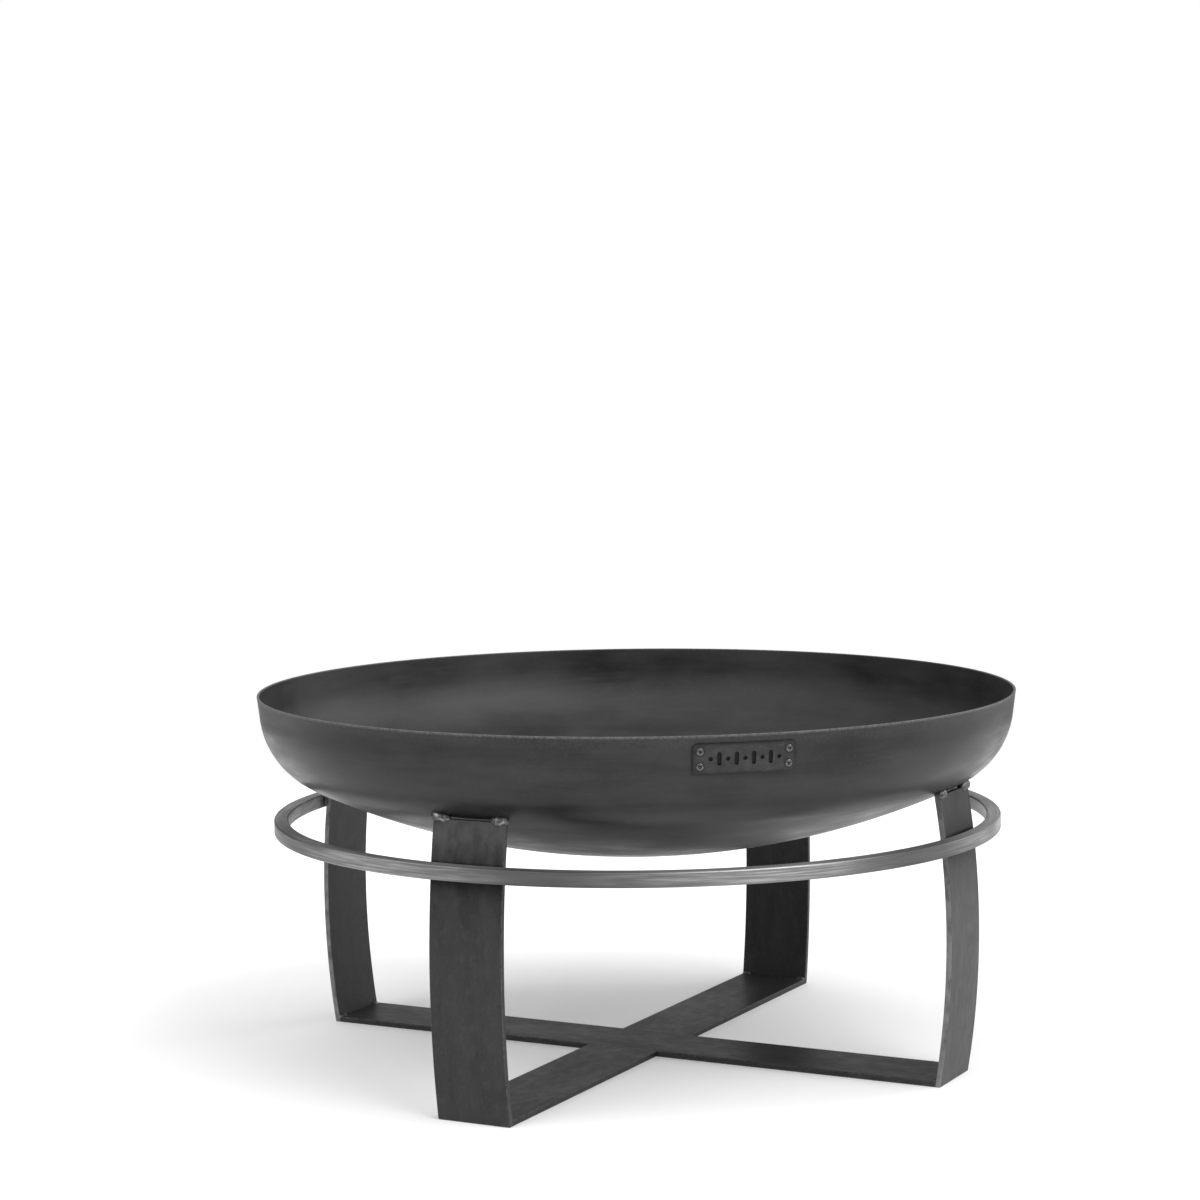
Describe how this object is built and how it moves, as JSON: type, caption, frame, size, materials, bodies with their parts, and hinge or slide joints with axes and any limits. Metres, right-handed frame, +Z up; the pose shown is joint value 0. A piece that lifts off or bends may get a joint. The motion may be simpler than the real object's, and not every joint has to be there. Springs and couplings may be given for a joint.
{
  "type": "fire bowl",
  "caption": "Dished steel fire bowl welded on curved flat-bar legs, tied by a square-tube hoop and crossed foot bars, with a riveted marker plate.",
  "frame": {"origin": "on the ground under the bowl's centre", "axes": "+Z up; -Y is the front, where the marker plate is; the legs stand on the diagonals"},
  "size_m": [0.8, 0.8008, 0.386],
  "materials": {
    "bowl_steel": "satin",
    "frame_steel": "satin",
    "ring_steel": "satin",
    "plate_steel": "satin",
    "rivet_metal": "satin",
    "mandrel_steel": "satin",
    "weld_metal": "satin"
  },
  "bodies": {
    "root": {"bowl": "bowl_steel", "leg_front_left": "frame_steel", "leg_front_right": "frame_steel", "leg_back_right": "frame_steel", "leg_back_left": "frame_steel", "foot_bar_through": "frame_steel", "foot_bar_front_left": "frame_steel", "foot_bar_back_right": "frame_steel", "ring_tube": "ring_steel", "ring_seam_weld": "ring_steel", "nameplate": "plate_steel", "rivet_upper_left": "rivet_metal", "rivet_upper_right": "rivet_metal", "rivet_lower_left": "rivet_metal", "rivet_lower_right": "rivet_metal", "rivet_mandrel_upper_left": "mandrel_steel", "rivet_mandrel_upper_right": "mandrel_steel", "rivet_mandrel_lower_left": "mandrel_steel", "rivet_mandrel_lower_right": "mandrel_steel", "bowl_tack_front_left_a": "weld_metal", "bowl_tack_front_left_b": "weld_metal", "ring_tack_front_left_a": "weld_metal", "ring_tack_front_left_b": "weld_metal", "foot_tack_front_left_a": "weld_metal", "foot_tack_front_left_b": "weld_metal", "bowl_tack_front_right_a": "weld_metal", "bowl_tack_front_right_b": "weld_metal", "ring_tack_front_right_a": "weld_metal", "ring_tack_front_right_b": "weld_metal", "foot_tack_front_right_a": "weld_metal", "foot_tack_front_right_b": "weld_metal", "bowl_tack_back_right_a": "weld_metal", "bowl_tack_back_right_b": "weld_metal", "ring_tack_back_right_a": "weld_metal", "ring_tack_back_right_b": "weld_metal", "foot_tack_back_right_a": "weld_metal", "foot_tack_back_right_b": "weld_metal", "bowl_tack_back_left_a": "weld_metal", "bowl_tack_back_left_b": "weld_metal", "ring_tack_back_left_a": "weld_metal", "ring_tack_back_left_b": "weld_metal", "foot_tack_back_left_a": "weld_metal", "foot_tack_back_left_b": "weld_metal", "foot_seam_weld_front_left": "weld_metal", "foot_seam_weld_back_right": "weld_metal"}
  },
  "joints": []
}
